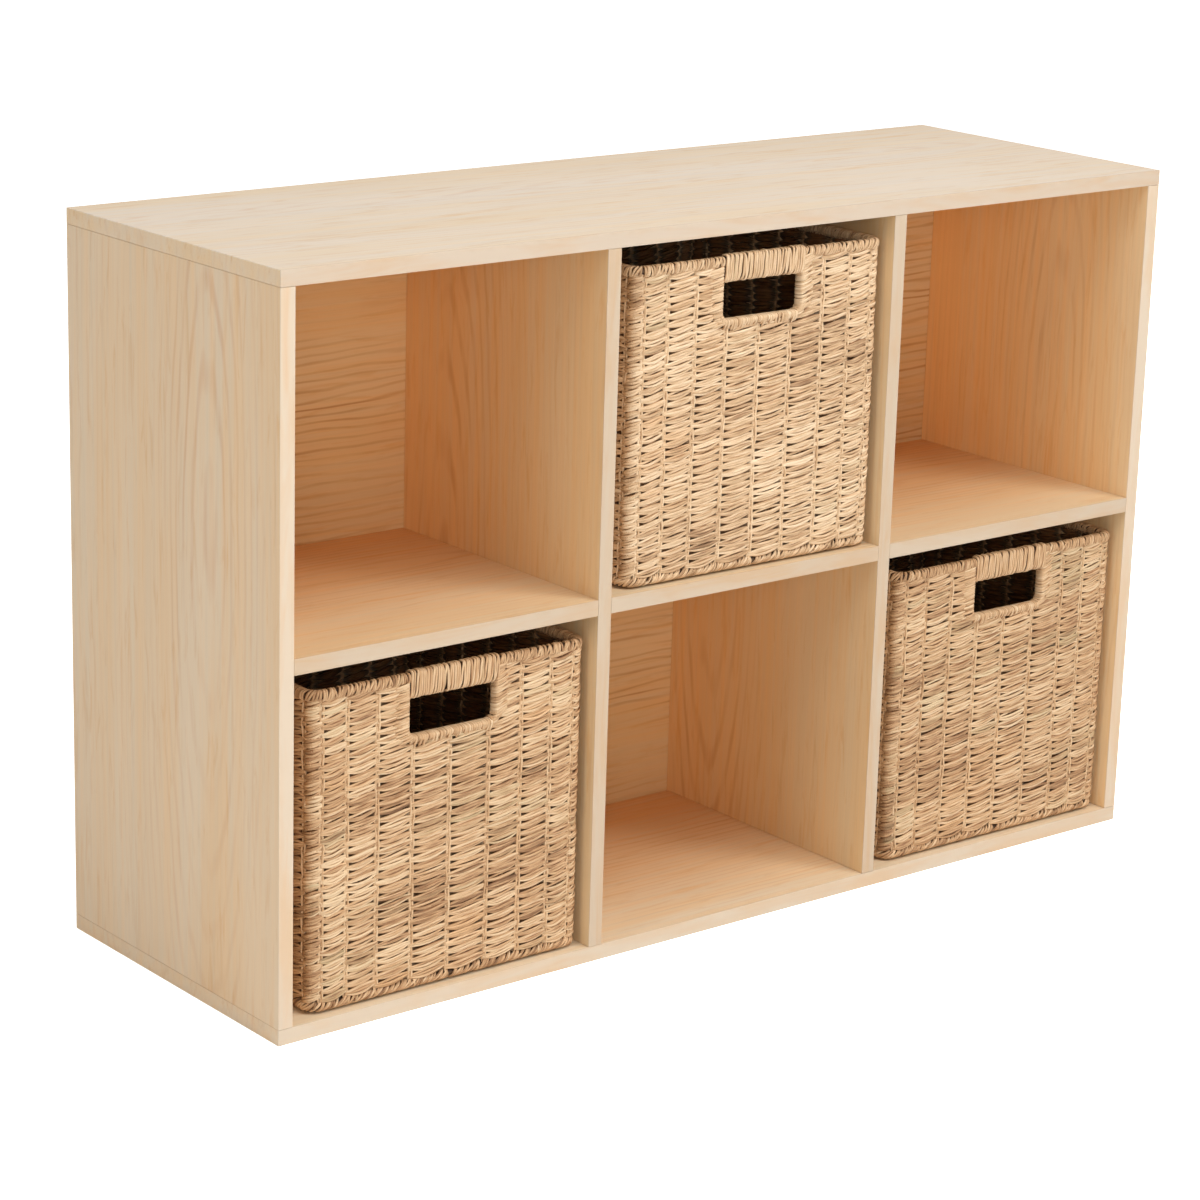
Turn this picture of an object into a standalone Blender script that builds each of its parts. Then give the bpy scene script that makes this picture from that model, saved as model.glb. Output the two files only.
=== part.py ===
"""Six-cell cube storage unit with three woven baskets.

Metres, +Z up. The origin is on the floor under the middle of the unit. The open front faces -Y, and
+X is to the right of someone who stands in front of it. Each basket hangs from an empty at the middle
of its base, and slides out of its cell along -Y.
"""

import math

import bmesh
import bpy
from mathutils import Matrix

GAP = 0.0003  # left between pieces that touch
SMOOTH_ANGLE = math.radians(40)  # edges sharper than this stay crisp

# Carcass
BOARD = 0.0127
CELL_WIDTH = 0.287
CELL_HEIGHT = 0.279
DEPTH = 0.298
COLUMNS = 3
ROWS = 2
WIDTH = COLUMNS * CELL_WIDTH + (COLUMNS + 1) * BOARD
HEIGHT = ROWS * CELL_HEIGHT + (ROWS + 1) * BOARD
FRONT = -DEPTH / 2
REAR = DEPTH / 2
TOP_UNDERSIDE = HEIGHT - BOARD
SHELF_LOW = BOARD + CELL_HEIGHT
SHELF_HIGH = SHELF_LOW + BOARD
UPRIGHTS = ("side_left", "divider_left", "divider_right", "side_right")
COLUMN_NAMES = ("left", "middle", "right")

# Back panels, held in grooves
BACK_THICKNESS = 0.003
BACK_RECESS = 0.0315  # from the rear edges to the back panels' rear faces
BACK_REAR_FACE = REAR - BACK_RECESS
BACK_FRONT_FACE = BACK_REAR_FACE - BACK_THICKNESS
GROOVE_DEPTH = 0.0043
BACK_TONGUE = GROOVE_DEPTH - GAP

# Dowels, with positions measured from the front edge
DOWEL_RADIUS = 0.003
DOWEL_CHAMFER = 0.0006
TOP_DOWEL_FROM_FRONT = 0.040
TOP_DOWEL_UP = 0.008
TOP_DOWEL_DOWN = 0.018
SHELF_DOWELS_FROM_FRONT = {"front": 0.060, "rear": 0.205}
SHELF_DOWEL_IN_SIDE = 0.008
SHELF_DOWEL_IN_SHELF = 0.018
SMALL_SIDES = 12

# Cam fittings
CAM_FROM_FRONT = 0.205
CAM_BELOW_TOP = 0.024
CAM_RADIUS = 0.00735
CAM_THICKNESS = 0.0092
CAM_SIDES = 24
CAM_FACE_PLATE = 0.0024
CAM_POCKET_WIDTH = 0.0076
CAM_POCKET_BELOW_CENTRE = 0.004
CAM_CROSS_LENGTH = 0.008
CAM_CROSS_WIDTH = 0.0014
CAM_CROSS_DEPTH = 0.0013
BOLT_THREAD_RADIUS = 0.0025
BOLT_THREAD_LENGTH = 0.0088
BOLT_COLLAR_RADIUS = 0.0034
BOLT_COLLAR_LENGTH = 0.0018
BOLT_SHAFT_RADIUS = 0.0022
BOLT_NECK_RADIUS = 0.0015
BOLT_HEAD_RADIUS = 0.0031
BOLT_HEAD_LENGTH = 0.0030
BOLT_HEAD_ABOVE_CENTRE = 0.0012  # from the cam's axis to the head's upper side
BOLT_NECK_LENGTH = 0.0030

# Screws through the bottom board
SCREWS_FROM_FRONT = {"front": 0.045, "rear": 0.225}
SCREW_HEAD_RADIUS = 0.0044
SCREW_RADIUS = 0.0022
SCREW_LENGTH = 0.040
SCREW_TIP = 0.004
SCREW_TIP_RADIUS = 0.0006
SCREW_HEAD_LOW = 0.0006  # the head's face, above the floor
SCREW_HEAD_RIM = 0.0005
SCREW_HEAD_TAPER = 0.0026
SCREW_SOCKET_RADIUS = 0.0020
SCREW_SOCKET_DEPTH = 0.0022
SOCKET_SIDES = 6

# Baskets, measured from the middle of their base on the shelf
BASKET_WIDTH = 0.264
BASKET_DEPTH = 0.250
BASKET_SETBACK = 0.007  # from the carcass's front edge
BASKET_SIDEWAYS = 0.008  # off the cell's middle
BASKET_CELLS = {"upper_middle": (1, 1), "lower_left": (0, 0), "lower_right": (2, 0)}
CORNER_RADIUS = 0.014
CORNER_STEPS = 3
LEAST_CORNER_RADIUS = 0.0015
WALL = 0.007
RIM_TOP = 0.2597
RIM_HEIGHT = 0.0067
RIM_INSET = 0.0002
WALL_TOP = RIM_TOP - RIM_HEIGHT - GAP
WIRE_RADIUS = 0.0013
WIRE_SIDES = 6
BORDER_MIDDLE_INSET = 0.0065
BORDER_RADIUS = 0.0048
BORDER_SIDES = 8
WALL_LOW = 2 * BORDER_RADIUS + 2 * GAP
BASE_INSET = BORDER_MIDDLE_INSET + BORDER_RADIUS + GAP
BASE_LOW = 0.0022
BASE_HIGH = 0.0082
HOLE_WIDTH = 0.078
HOLE_LOW = 0.2067
HOLE_HIGH = 0.2413
HOLE_CORNER = 0.002
WRAP = 0.0015  # thickness of the wound strands on the grip and along the hole
WRAP_LENGTH = HOLE_WIDTH - 0.003  # clear of the hole's rounded corners
BINDING_DROP = 0.0065


def clear_scene():
    for item in list(bpy.data.objects):
        bpy.data.objects.remove(item, do_unlink=True)


def make_material(name, colour, roughness, metallic=0.0):
    material = bpy.data.materials.new(name)
    material.use_nodes = True
    shader = material.node_tree.nodes["Principled BSDF"]
    shader.inputs["Base Color"].default_value = (*colour, 1.0)
    shader.inputs["Roughness"].default_value = roughness
    shader.inputs["Metallic"].default_value = metallic
    material.diffuse_color = (*colour, 1.0)
    return material


def make_materials():
    return {
        "board": make_material("board", (0.66, 0.47, 0.29), 0.5),
        "back": make_material("back", (0.53, 0.31, 0.14), 0.55),
        "beech": make_material("beech", (0.62, 0.42, 0.24), 0.7),
        "zinc": make_material("zinc", (0.55, 0.56, 0.58), 0.4, 0.9),
        "steel": make_material("steel", (0.60, 0.58, 0.50), 0.35, 0.9),
        "seagrass": make_material("seagrass", (0.68, 0.46, 0.26), 0.8),
        "wrapping": make_material("wrapping", (0.75, 0.54, 0.33), 0.8),
        "wire": make_material("wire", (0.16, 0.15, 0.14), 0.5, 0.8),
    }


def place(name, mesh, material, location=(0, 0, 0), rotation=(0, 0, 0), parent=None):
    item = bpy.data.objects.new(name, mesh)
    bpy.context.scene.collection.objects.link(item)
    item.location = location
    item.rotation_euler = rotation
    item.parent = parent
    if material and not mesh.materials:
        mesh.materials.append(material)
    return item


def finish_mesh(name, shape, smooth=False):
    bmesh.ops.recalc_face_normals(shape, faces=shape.faces)
    mesh = bpy.data.meshes.new(name)
    shape.to_mesh(mesh)
    shape.free()
    if smooth:
        mesh.shade_smooth()
        mesh.set_sharp_from_angle(angle=SMOOTH_ANGLE)
    return mesh


def box_mesh(name, size):
    """A box about its own middle."""
    shape = bmesh.new()
    bmesh.ops.create_cube(shape, size=1.0)
    bmesh.ops.scale(shape, vec=size, verts=shape.verts)
    return finish_mesh(name, shape)


def turned_mesh(name, profile, sides):
    """A solid of revolution about Z. The profile lists (radius, z) from the bottom to the top."""
    shape = bmesh.new()
    points = [shape.verts.new((radius, 0, z)) for radius, z in profile]
    chain = [shape.edges.new(pair) for pair in zip(points, points[1:])]
    bmesh.ops.spin(
        shape, geom=points + chain, cent=(0, 0, 0), axis=(0, 0, 1), angle=math.tau, steps=sides,
        use_merge=True,
    )
    bmesh.ops.remove_doubles(shape, verts=shape.verts, dist=1e-6)
    bmesh.ops.holes_fill(shape, edges=[e for e in shape.edges if e.is_boundary], sides=sides)
    return finish_mesh(name, shape, smooth=True)


def rounded_rectangle(width, depth, radius, steps):
    """The corners' points in order, anticlockwise from the +X +Y corner."""
    points = []
    for turn, (side_x, side_y) in enumerate(((1, 1), (-1, 1), (-1, -1), (1, -1))):
        centre_x = side_x * (width / 2 - radius)
        centre_y = side_y * (depth / 2 - radius)
        for step in range(steps + 1):
            angle = (turn + step / steps) * math.pi / 2
            points.append((centre_x + radius * math.cos(angle), centre_y + radius * math.sin(angle)))
    return points


def lofted_mesh(name, loops, closed):
    """Joins loops of points one after another. A closed loft meets itself, an open one gets end caps."""
    shape = bmesh.new()
    rings = [[shape.verts.new(point) for point in loop] for loop in loops]
    following = rings[1:] + (rings[:1] if closed else [])
    for ring, after in zip(rings, following):
        corners = zip(ring, ring[1:] + ring[:1], after[1:] + after[:1], after)
        for quad in corners:
            shape.faces.new(quad)
    if not closed:
        shape.faces.new(rings[0])
        shape.faces.new(rings[-1])
    return finish_mesh(name, shape, smooth=True)


def basket_loop(inset, z):
    """The basket's outline at one height, drawn in from its outer face."""
    radius = max(CORNER_RADIUS - inset, LEAST_CORNER_RADIUS)
    outline = rounded_rectangle(
        BASKET_WIDTH - 2 * inset, BASKET_DEPTH - 2 * inset, radius, CORNER_STEPS)
    return [(x, y, z) for x, y in outline]


def cut(target, mesh, location=(0, 0, 0), rotation=(0, 0, 0)):
    """Takes the mesh's shape away from the target, which keeps a Boolean modifier for it."""
    number = len(target.modifiers) + 1
    cutter = place(f"cut_{target.name}_{number}", mesh, None, location, rotation, target.parent)
    cutter.hide_render = True
    cutter.display_type = "WIRE"
    modifier = target.modifiers.new(f"cut_{number}", "BOOLEAN")
    modifier.operation = "DIFFERENCE"
    modifier.solver = "EXACT"
    modifier.object = cutter


def middle_and_size(low, high):
    middle = [(a + b) / 2 for a, b in zip(low, high)]
    size = [b - a for a, b in zip(low, high)]
    return middle, size


def board(name, low, high, material):
    middle, size = middle_and_size(low, high)
    return place(name, box_mesh(name, size), material, middle)


def cut_box(target, low, high):
    middle, size = middle_and_size(low, high)
    cut(target, box_mesh("box_cut", size), middle)


def cut_bore_z(target, x, y, low, high, radius):
    profile = [(radius, low), (radius, high)]
    cut(target, turned_mesh("bore_cut", profile, SMALL_SIDES), (x, y, 0))


def cut_bore_x(target, low, high, y, z, radius, sides=SMALL_SIDES):
    profile = [(radius, low), (radius, high)]
    cut(target, turned_mesh("bore_cut", profile, sides), (0, y, z), (0, math.pi / 2, 0))


def upright_x(index):
    return -WIDTH / 2 + BOARD / 2 + index * (CELL_WIDTH + BOARD)


def column_span(column):
    """The clear width of a column, from its left upright to its right one."""
    low = upright_x(column) + BOARD / 2
    return low, low + CELL_WIDTH


def cam_side(index):
    """The face that takes the cam: the right-hand one, or the inner one on the right side board."""
    return -1 if index == len(UPRIGHTS) - 1 else 1


def screw_profile(grown=0.0):
    """The screw's outline, or with a growth the outline of the hole around it."""
    head_low = SCREW_HEAD_LOW - 2 * grown
    rim = SCREW_HEAD_LOW + SCREW_HEAD_RIM
    tip = SCREW_HEAD_LOW + SCREW_LENGTH + grown
    return [
        (SCREW_HEAD_RADIUS + grown, head_low),
        (SCREW_HEAD_RADIUS + grown, rim),
        (SCREW_RADIUS + grown, rim + SCREW_HEAD_TAPER),
        (SCREW_RADIUS + grown, tip - SCREW_TIP),
        (SCREW_TIP_RADIUS + grown, tip),
    ]


def make_level_boards(materials):
    wood = materials["board"]
    half = WIDTH / 2
    top = board("top_panel", (-half, FRONT, TOP_UNDERSIDE), (half, REAR, HEIGHT), wood)
    bottom = board("bottom_panel", (-half, FRONT, 0), (half, REAR, BOARD), wood)
    groove_half = half - BOARD + GROOVE_DEPTH
    groove_front = BACK_FRONT_FACE - GAP
    groove_rear = BACK_REAR_FACE + GAP
    cut_box(
        top, (-groove_half, groove_front, TOP_UNDERSIDE - BOARD),
        (groove_half, groove_rear, TOP_UNDERSIDE + GROOVE_DEPTH))
    cut_box(
        bottom, (-groove_half, groove_front, BOARD - GROOVE_DEPTH),
        (groove_half, groove_rear, 2 * BOARD))
    hole = turned_mesh("screw_hole", screw_profile(GAP), SMALL_SIDES)
    for index in range(len(UPRIGHTS)):
        x = upright_x(index)
        cut_bore_z(
            top, x, FRONT + TOP_DOWEL_FROM_FRONT, TOP_UNDERSIDE - BOARD,
            TOP_UNDERSIDE + TOP_DOWEL_UP + GAP, DOWEL_RADIUS + GAP)
        cut_bore_z(
            top, x, FRONT + CAM_FROM_FRONT, TOP_UNDERSIDE - BOARD,
            TOP_UNDERSIDE + BOLT_THREAD_LENGTH + GAP, BOLT_THREAD_RADIUS + GAP)
        for from_front in SCREWS_FROM_FRONT.values():
            cut(bottom, hole, (x, FRONT + from_front, 0))


def make_uprights(materials):
    low_z = BOARD + GAP
    high_z = TOP_UNDERSIDE - GAP
    shelf_z = (SHELF_LOW + SHELF_HIGH) / 2
    cam_z = TOP_UNDERSIDE - CAM_BELOW_TOP
    for index, place_name in enumerate(UPRIGHTS):
        x = upright_x(index)
        left_face = x - BOARD / 2
        right_face = x + BOARD / 2
        name = place_name if place_name.startswith("divider") else place_name.replace("_", "_panel_")
        upright = board(
            name, (left_face, FRONT, low_z), (right_face, REAR, high_z), materials["board"])
        inner_faces = [right_face] * (index < len(UPRIGHTS) - 1) + [left_face] * (index > 0)
        for face in inner_faces:
            inward = -1 if face == right_face else 1
            bottom_of_groove = face + inward * GROOVE_DEPTH
            outside = face - inward * BOARD
            cut_box(
                upright, (min(bottom_of_groove, outside), BACK_FRONT_FACE - GAP, 0),
                (max(bottom_of_groove, outside), BACK_REAR_FACE + GAP, HEIGHT))
        cut_bore_z(
            upright, x, FRONT + TOP_DOWEL_FROM_FRONT, TOP_UNDERSIDE - TOP_DOWEL_DOWN - GAP,
            HEIGHT, DOWEL_RADIUS + GAP)
        side = cam_side(index)
        face = x + side * BOARD / 2
        cam_bottom = face - side * (CAM_THICKNESS + GAP)
        ends = sorted((cam_bottom, face + side * BOARD))
        cut_bore_x(
            upright, *ends, FRONT + CAM_FROM_FRONT, cam_z, CAM_RADIUS + GAP, CAM_SIDES)
        cut_bore_z(
            upright, x, FRONT + CAM_FROM_FRONT, cam_z, HEIGHT, BOLT_COLLAR_RADIUS + GAP)
        for from_front in SCREWS_FROM_FRONT.values():
            cut_bore_z(
                upright, x, FRONT + from_front, 0,
                SCREW_HEAD_LOW + SCREW_LENGTH + GAP, SCREW_RADIUS + GAP)
        dowel_low, dowel_high = shelf_dowel_span(index)
        for from_front in SHELF_DOWELS_FROM_FRONT.values():
            cut_bore_x(
                upright, dowel_low - GAP, dowel_high + GAP, FRONT + from_front, shelf_z,
                DOWEL_RADIUS + GAP)


def shelf_dowel_span(index):
    """A shelf dowel's two ends. A divider's dowel runs through it into the shelves on both sides."""
    x = upright_x(index)
    reach_left = x - BOARD / 2 - SHELF_DOWEL_IN_SHELF
    reach_right = x + BOARD / 2 + SHELF_DOWEL_IN_SHELF
    if index == 0:
        reach_left = x + BOARD / 2 - SHELF_DOWEL_IN_SIDE
    if index == len(UPRIGHTS) - 1:
        reach_right = x - BOARD / 2 + SHELF_DOWEL_IN_SIDE
    return reach_left, reach_right


def make_shelves(materials):
    shelf_z = (SHELF_LOW + SHELF_HIGH) / 2
    for column, name in enumerate(COLUMN_NAMES):
        low_x, high_x = column_span(column)
        shelf = board(
            f"shelf_{name}", (low_x + GAP, FRONT, SHELF_LOW),
            (high_x - GAP, BACK_FRONT_FACE - GAP, SHELF_HIGH), materials["board"])
        for from_front in SHELF_DOWELS_FROM_FRONT.values():
            for start, end in (
                (low_x - BOARD, low_x + SHELF_DOWEL_IN_SHELF + GAP),
                (high_x - SHELF_DOWEL_IN_SHELF - GAP, high_x + BOARD),
            ):
                cut_bore_x(
                    shelf, start, end, FRONT + from_front, shelf_z, DOWEL_RADIUS + GAP)


def make_back_panels(materials):
    for column, name in enumerate(COLUMN_NAMES):
        low_x, high_x = column_span(column)
        board(
            f"back_panel_{name}",
            (low_x - BACK_TONGUE, BACK_FRONT_FACE, BOARD - BACK_TONGUE),
            (high_x + BACK_TONGUE, BACK_REAR_FACE, TOP_UNDERSIDE + BACK_TONGUE),
            materials["back"])


def dowel_mesh(name, length):
    blunt = DOWEL_RADIUS - DOWEL_CHAMFER
    profile = [
        (blunt, -length / 2),
        (DOWEL_RADIUS, -length / 2 + DOWEL_CHAMFER),
        (DOWEL_RADIUS, length / 2 - DOWEL_CHAMFER),
        (blunt, length / 2),
    ]
    return turned_mesh(name, profile, SMALL_SIDES)


def make_dowels(materials):
    beech = materials["beech"]
    top_mesh = dowel_mesh("top_dowel", TOP_DOWEL_UP + TOP_DOWEL_DOWN)
    top_z = TOP_UNDERSIDE + (TOP_DOWEL_UP - TOP_DOWEL_DOWN) / 2
    shelf_z = (SHELF_LOW + SHELF_HIGH) / 2
    for index, place_name in enumerate(UPRIGHTS):
        location = (upright_x(index), FRONT + TOP_DOWEL_FROM_FRONT, top_z)
        place(f"top_dowel_{place_name}", top_mesh, beech, location)
        low, high = shelf_dowel_span(index)
        mesh = dowel_mesh(f"shelf_dowel_{place_name}", high - low)
        for end, from_front in SHELF_DOWELS_FROM_FRONT.items():
            place(
                f"shelf_dowel_{place_name}_{end}", mesh, beech,
                ((low + high) / 2, FRONT + from_front, shelf_z), (0, math.pi / 2, 0))


def bolt_mesh():
    """The cam bolt, with z = 0 where it meets the top board and the head at the bottom."""
    head_high = -CAM_BELOW_TOP + BOLT_HEAD_ABOVE_CENTRE
    head_low = head_high - BOLT_HEAD_LENGTH
    neck_high = head_high + BOLT_NECK_LENGTH
    profile = [
        (BOLT_HEAD_RADIUS, head_low),
        (BOLT_HEAD_RADIUS, head_high),
        (BOLT_NECK_RADIUS, head_high + BOLT_HEAD_RADIUS - BOLT_NECK_RADIUS),
        (BOLT_NECK_RADIUS, neck_high),
        (BOLT_SHAFT_RADIUS, neck_high + BOLT_SHAFT_RADIUS - BOLT_NECK_RADIUS),
        (BOLT_SHAFT_RADIUS, -BOLT_COLLAR_LENGTH - GAP),
        (BOLT_COLLAR_RADIUS, -BOLT_COLLAR_LENGTH - GAP),
        (BOLT_COLLAR_RADIUS, -GAP),
        (BOLT_THREAD_RADIUS, -GAP),
        (BOLT_THREAD_RADIUS, BOLT_THREAD_LENGTH - DOWEL_CHAMFER),
        (BOLT_THREAD_RADIUS - DOWEL_CHAMFER, BOLT_THREAD_LENGTH),
    ]
    return turned_mesh("cam_bolt", profile, SMALL_SIDES)


def cam_turn(side, spin):
    """Spins a cam's shape about its own axis, then lays that axis along X, facing the given side."""
    return (Matrix.Rotation(side * math.pi / 2, 4, "Y") @ Matrix.Rotation(spin, 4, "Z")).to_euler()


def make_cam_fittings(materials):
    """Each cam's own z axis runs along its turning axis, with its visible face at z = 0."""
    disc = turned_mesh("cam_disc", [(CAM_RADIUS, -CAM_THICKNESS), (CAM_RADIUS, 0)], CAM_SIDES)
    bolt = bolt_mesh()
    pocket_high = 2 * CAM_RADIUS
    pocket = box_mesh(
        "cam_pocket",
        (pocket_high + CAM_POCKET_BELOW_CENTRE, CAM_POCKET_WIDTH, CAM_THICKNESS))
    pocket.transform(Matrix.Translation(
        ((CAM_POCKET_BELOW_CENTRE - pocket_high) / 2, 0, -CAM_FACE_PLATE - CAM_THICKNESS / 2)))
    slot = box_mesh("cam_slot", (CAM_CROSS_LENGTH, CAM_CROSS_WIDTH, 2 * CAM_CROSS_DEPTH))
    for index, place_name in enumerate(UPRIGHTS):
        x = upright_x(index)
        y = FRONT + CAM_FROM_FRONT
        side = cam_side(index)
        face_x = x + side * BOARD / 2
        centre = (face_x, y, TOP_UNDERSIDE - CAM_BELOW_TOP)
        cam = place(
            f"cam_disc_{place_name}", disc, materials["zinc"], centre, cam_turn(side, 0))
        cut(cam, pocket, centre, cam_turn(side, 0 if side > 0 else math.pi))
        for quarter in (0, math.pi / 2):
            cut(cam, slot, centre, cam_turn(side, quarter))
        place(f"cam_bolt_{place_name}", bolt, materials["steel"], (x, y, TOP_UNDERSIDE))


def make_screws(materials):
    screw = turned_mesh("screw", screw_profile(), SMALL_SIDES)
    socket = turned_mesh(
        "screw_socket",
        [(SCREW_SOCKET_RADIUS, -SCREW_SOCKET_DEPTH), (SCREW_SOCKET_RADIUS, SCREW_SOCKET_DEPTH)],
        SOCKET_SIDES)
    for index, place_name in enumerate(UPRIGHTS):
        for end, from_front in SCREWS_FROM_FRONT.items():
            x = upright_x(index)
            y = FRONT + from_front
            item = place(
                f"bottom_screw_{place_name}_{end}", screw, materials["steel"], (x, y, 0))
            cut(item, socket, (x, y, SCREW_HEAD_LOW))


def basket_body_mesh():
    """Open-topped shell. Its base steps down inside the foot border."""
    sections = (
        (BASE_INSET, BASE_LOW),
        (BASE_INSET, WALL_LOW),
        (0, WALL_LOW),
        (0, WALL_TOP),
        (WALL, WALL_TOP),
        (WALL, WALL_LOW + BASE_HIGH - BASE_LOW),
        (BASE_INSET + WALL, WALL_LOW + BASE_HIGH - BASE_LOW),
        (BASE_INSET + WALL, BASE_HIGH),
    )
    return lofted_mesh("basket_body", [basket_loop(*section) for section in sections], False)


def rim_mesh():
    """A channel over the wall's top edge, with room for the wire hoop."""
    low = RIM_TOP - RIM_HEIGHT
    outer = RIM_INSET
    inner = WALL - RIM_INSET
    channel_half = WIRE_RADIUS + GAP
    channel_high = low + 2 * WIRE_RADIUS + 2 * GAP
    sections = (
        (outer, low),
        (outer, RIM_TOP),
        (inner, RIM_TOP),
        (inner, low),
        (WALL / 2 + channel_half, low),
        (WALL / 2 + channel_half, channel_high),
        (WALL / 2 - channel_half, channel_high),
        (WALL / 2 - channel_half, low),
    )
    return lofted_mesh("rim_wrap", [basket_loop(*section) for section in sections], True)


def hoop_mesh(name, middle_inset, middle_z, radius, sides):
    """A round-section hoop that follows the basket's outline."""
    loops = []
    for side in range(sides):
        angle = math.tau * (side + 0.5) / sides
        loops.append(basket_loop(
            middle_inset + radius * math.cos(angle), middle_z + radius * math.sin(angle)))
    return lofted_mesh(name, loops, True)


def hole_mesh():
    """The hand hole's cutter, lying flat. It is turned upright where it is used."""
    outline = rounded_rectangle(HOLE_WIDTH, HOLE_HIGH - HOLE_LOW, HOLE_CORNER, CORNER_STEPS)
    ends = [[(x, y, z) for x, y in outline] for z in (-WALL, WALL)]
    return lofted_mesh("hand_hole", ends, False)


def section_mesh(name, outline, length):
    """An outline of (y, z) points drawn out along X about the middle."""
    ends = [[(x, y, z) for y, z in outline] for x in (-length / 2, length / 2)]
    return lofted_mesh(name, ends, False)


def make_basket(name, cell, meshes, materials):
    column, row = cell
    low_x, high_x = column_span(column)
    middle_x = (low_x + high_x) / 2 + BASKET_SIDEWAYS
    middle_y = FRONT + BASKET_SETBACK + BASKET_DEPTH / 2
    floor_z = BOARD + row * (CELL_HEIGHT + BOARD)
    empty = bpy.data.objects.new(f"basket_{name}", None)
    bpy.context.scene.collection.objects.link(empty)
    empty.location = (middle_x, middle_y, floor_z)

    wall_middle = -BASKET_DEPTH / 2 + WALL / 2
    hole_middle = (HOLE_LOW + HOLE_HIGH) / 2
    upright = (math.pi / 2, 0, 0)
    body = place(f"basket_{name}_body", meshes["body"], materials["seagrass"], parent=empty)
    cut(body, meshes["hole"], (0, wall_middle, hole_middle), upright)
    place(f"basket_{name}_rim_wrap", meshes["rim"], materials["wrapping"], parent=empty)
    place(f"basket_{name}_rim_wire", meshes["wire"], materials["wire"], parent=empty)
    place(f"basket_{name}_foot_border", meshes["border"], materials["wrapping"], parent=empty)
    grip_middle = (HOLE_HIGH + RIM_TOP) / 2
    grip = place(
        f"basket_{name}_handle_grip", meshes["grip"], materials["wrapping"],
        (0, wall_middle, grip_middle), parent=empty)
    cut(grip, meshes["grip_bar"], (0, wall_middle, grip_middle))
    place(
        f"basket_{name}_hole_binding", meshes["binding"], materials["wrapping"],
        (0, wall_middle, HOLE_LOW), parent=empty)


def grip_meshes():
    """The sleeve of wound strands, and the bar and clearance inside it."""
    inner_y = WALL + 2 * GAP
    inner_z = RIM_TOP - HOLE_HIGH + 2 * GAP
    sleeve = box_mesh("handle_grip", (WRAP_LENGTH, inner_y + 2 * WRAP, inner_z + 2 * WRAP))
    bar = box_mesh("grip_bar", (2 * WRAP_LENGTH, inner_y, inner_z))
    return sleeve, bar


def binding_mesh():
    """A saddle over the hole's lower edge, with z = 0 at that edge."""
    inner = WALL / 2 + GAP
    outer = inner + WRAP
    outline = (
        (-outer, -BINDING_DROP),
        (-inner, -BINDING_DROP),
        (-inner, GAP),
        (inner, GAP),
        (inner, -BINDING_DROP),
        (outer, -BINDING_DROP),
        (outer, GAP + WRAP),
        (-outer, GAP + WRAP),
    )
    return section_mesh("hole_binding", outline, WRAP_LENGTH)


def make_baskets(materials):
    sleeve, bar = grip_meshes()
    wire_z = WALL_TOP + GAP + WIRE_RADIUS
    meshes = {
        "body": basket_body_mesh(),
        "rim": rim_mesh(),
        "wire": hoop_mesh("rim_wire", WALL / 2, wire_z, WIRE_RADIUS, WIRE_SIDES),
        "border": hoop_mesh(
            "foot_border", BORDER_MIDDLE_INSET, BORDER_RADIUS + GAP, BORDER_RADIUS, BORDER_SIDES),
        "hole": hole_mesh(),
        "grip": sleeve,
        "grip_bar": bar,
        "binding": binding_mesh(),
    }
    for name, cell in BASKET_CELLS.items():
        make_basket(name, cell, meshes, materials)


def main():
    clear_scene()
    materials = make_materials()
    make_level_boards(materials)
    make_uprights(materials)
    make_shelves(materials)
    make_back_panels(materials)
    make_dowels(materials)
    make_cam_fittings(materials)
    make_screws(materials)
    make_baskets(materials)


main()
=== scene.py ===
"""Looks for the six-cell cube storage unit: pale wood boards and three twined seagrass baskets.

Metres, +Z up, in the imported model's frame: the open front faces -Y and +X is to the right. The boards and
fittings are the CAD nodes with bevels and materials. Each basket is woven here strand by strand and takes
the place of its CAD solids. A basket's own coordinates start at the middle of its foot, on the shelf.
"""

import math

import bpy
import numpy as np
from mathutils import Matrix, Vector


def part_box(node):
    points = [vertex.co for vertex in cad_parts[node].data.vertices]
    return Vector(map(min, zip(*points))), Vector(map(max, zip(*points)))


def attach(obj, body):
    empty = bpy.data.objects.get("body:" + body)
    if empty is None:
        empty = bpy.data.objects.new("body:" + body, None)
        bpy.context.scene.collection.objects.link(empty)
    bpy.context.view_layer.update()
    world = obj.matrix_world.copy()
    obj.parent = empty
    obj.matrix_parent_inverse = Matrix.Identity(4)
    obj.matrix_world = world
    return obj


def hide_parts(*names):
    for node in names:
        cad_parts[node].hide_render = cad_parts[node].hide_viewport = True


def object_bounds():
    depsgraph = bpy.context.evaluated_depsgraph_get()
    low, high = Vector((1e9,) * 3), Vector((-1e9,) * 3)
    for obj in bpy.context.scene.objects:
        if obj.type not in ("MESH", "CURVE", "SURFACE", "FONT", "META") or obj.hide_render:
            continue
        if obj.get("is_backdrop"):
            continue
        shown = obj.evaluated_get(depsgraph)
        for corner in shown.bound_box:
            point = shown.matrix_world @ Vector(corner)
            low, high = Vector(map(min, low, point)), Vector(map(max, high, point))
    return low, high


BASKETS = ("upper_middle", "lower_left", "lower_right")

# Camera
CAMERA_PLACE = (-1.835, -2.2184, 1.0712)
CAMERA_AIM = (-0.0341, 0.0, 0.2494)
CAMERA_ROLL = math.radians(1.66)
CAMERA_LENS = 106.0  # mm, on a 36 mm sensor

# Light
STUDIO_LIGHT = 0.18  # from the white surroundings, which the camera sees as 1
FLOOR_HALF = 6.0
FLOOR_DROP = 0.0005
FLOOR_GLOW = 1.0  # seen by the camera only, so that the floor is as white as the surroundings

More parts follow.
